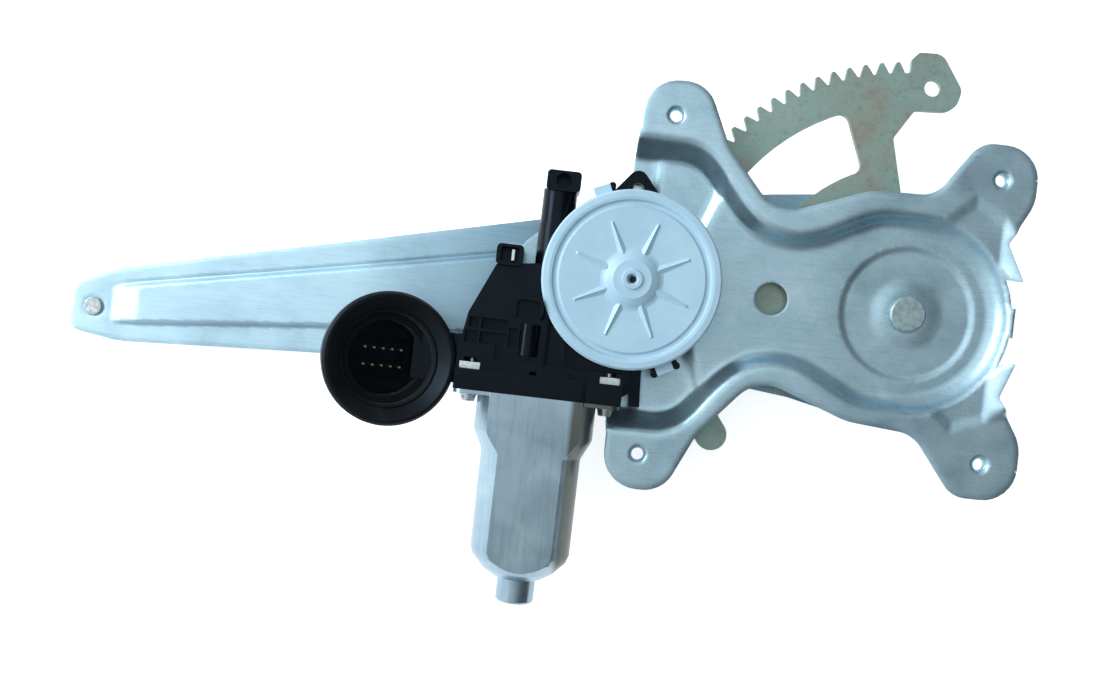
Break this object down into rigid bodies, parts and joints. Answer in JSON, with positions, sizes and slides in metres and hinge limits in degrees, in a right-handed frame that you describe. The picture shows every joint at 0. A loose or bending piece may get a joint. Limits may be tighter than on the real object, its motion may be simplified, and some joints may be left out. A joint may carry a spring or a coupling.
{
  "type": "window regulator",
  "caption": "Vehicle door window regulator: pressed base plate, toothed sector with lift arm and roller, driven by a worm gearmotor with a booted connector.",
  "frame": {"origin": "centre of the upper left ear's tapped hole, on the ear's front face", "axes": "+Z out of the ears' front faces, towards the door's inner panel; +X from the arm's tip towards the pivot, along the plate's centre line; +Y away from the motor can"},
  "size_m": [0.4076, 0.249, 0.0603],
  "materials": {
    "plate_zinc": "zinc-plated pressed steel, satin",
    "arm_zinc": "zinc-plated pressed steel, satin",
    "gear_passivated": "yellow-green passivated steel",
    "rivet_steel": "passivated steel",
    "bright_steel": "bright zinc-plated steel",
    "housing_black": "moulded glass-filled plastic",
    "cover_paint": "pale blue-grey painted steel",
    "can_zinc": "zinc-plated drawn steel",
    "rubber_black": "moulded rubber",
    "acetal": "natural acetal",
    "core_steel": "stacked electrical steel",
    "copper": "enamelled copper wire",
    "bronze": "oiled sintered bronze",
    "ferrite": "sintered ferrite",
    "carbon": "pressed carbon",
    "terminal_tin": "tinned brass"
  },
  "bodies": {
    "base": {"base_plate": "plate_zinc", "pivot_rivet": "rivet_steel", "pivot_washer": "core_steel", "gear_housing": "housing_black", "gear_cover": "cover_paint", "cover_seal": "rubber_black", "output_pin": "bright_steel", "front_bearing": "bronze", "tip_bearing": "bronze", "rear_bearing": "bronze", "thrust_plug": "acetal", "motor_can": "can_zinc", "magnets": "ferrite", "brush_holder": "housing_black", "brushes": "carbon", "motor_screws": "bright_steel", "motor_nuts": "bright_steel", "mounting_screws": "bright_steel", "post_clip": "bright_steel", "connector_body": "housing_black", "connector_boot": "rubber_black", "terminals": "terminal_tin"},
    "arm": {"sector_gear": "gear_passivated", "lift_arm": "arm_zinc", "arm_rivets": "rivet_steel", "roller_stud": "bright_steel"},
    "output": {"pinion": "core_steel", "drive_plate": "core_steel", "damper": "rubber_black", "worm_wheel": "acetal"},
    "armature": {"armature_shaft": "bright_steel", "armature_core": "core_steel", "armature_windings": "copper", "commutator": "copper"},
    "roller_body": {"roller": "acetal"}
  },
  "joints": [
    {"name": "arm_swing", "type": "hinge", "parent": "base", "child": "arm", "pos_m": [0.1063, -0.0707, -0.013], "axis": [0, 0, 1], "range_deg": [-27, 78]},
    {"name": "output_spin", "type": "hinge", "parent": "base", "child": "output", "pos_m": [-0.0114, -0.0707, -0.012], "axis": [0, 0, 1], "range_deg": [-685.73, 240.64]},
    {"name": "armature_spin", "type": "hinge", "parent": "base", "child": "armature", "pos_m": [-0.0441, -0.0707, 0], "axis": [0, -1, 0], "range_deg": [-11134.91, 32054.18]},
    {"name": "roller_spin", "type": "hinge", "parent": "arm", "child": "roller_body", "pos_m": [-0.24055, -0.10654, -0.03], "axis": [0, 0, 1], "continuous": true}
  ],
  "couplings": [
    {"joint": "output_spin", "follows": "arm_swing", "ratio": -8.7273},
    {"joint": "armature_spin", "follows": "arm_swing", "ratio": 410.18}
  ]
}
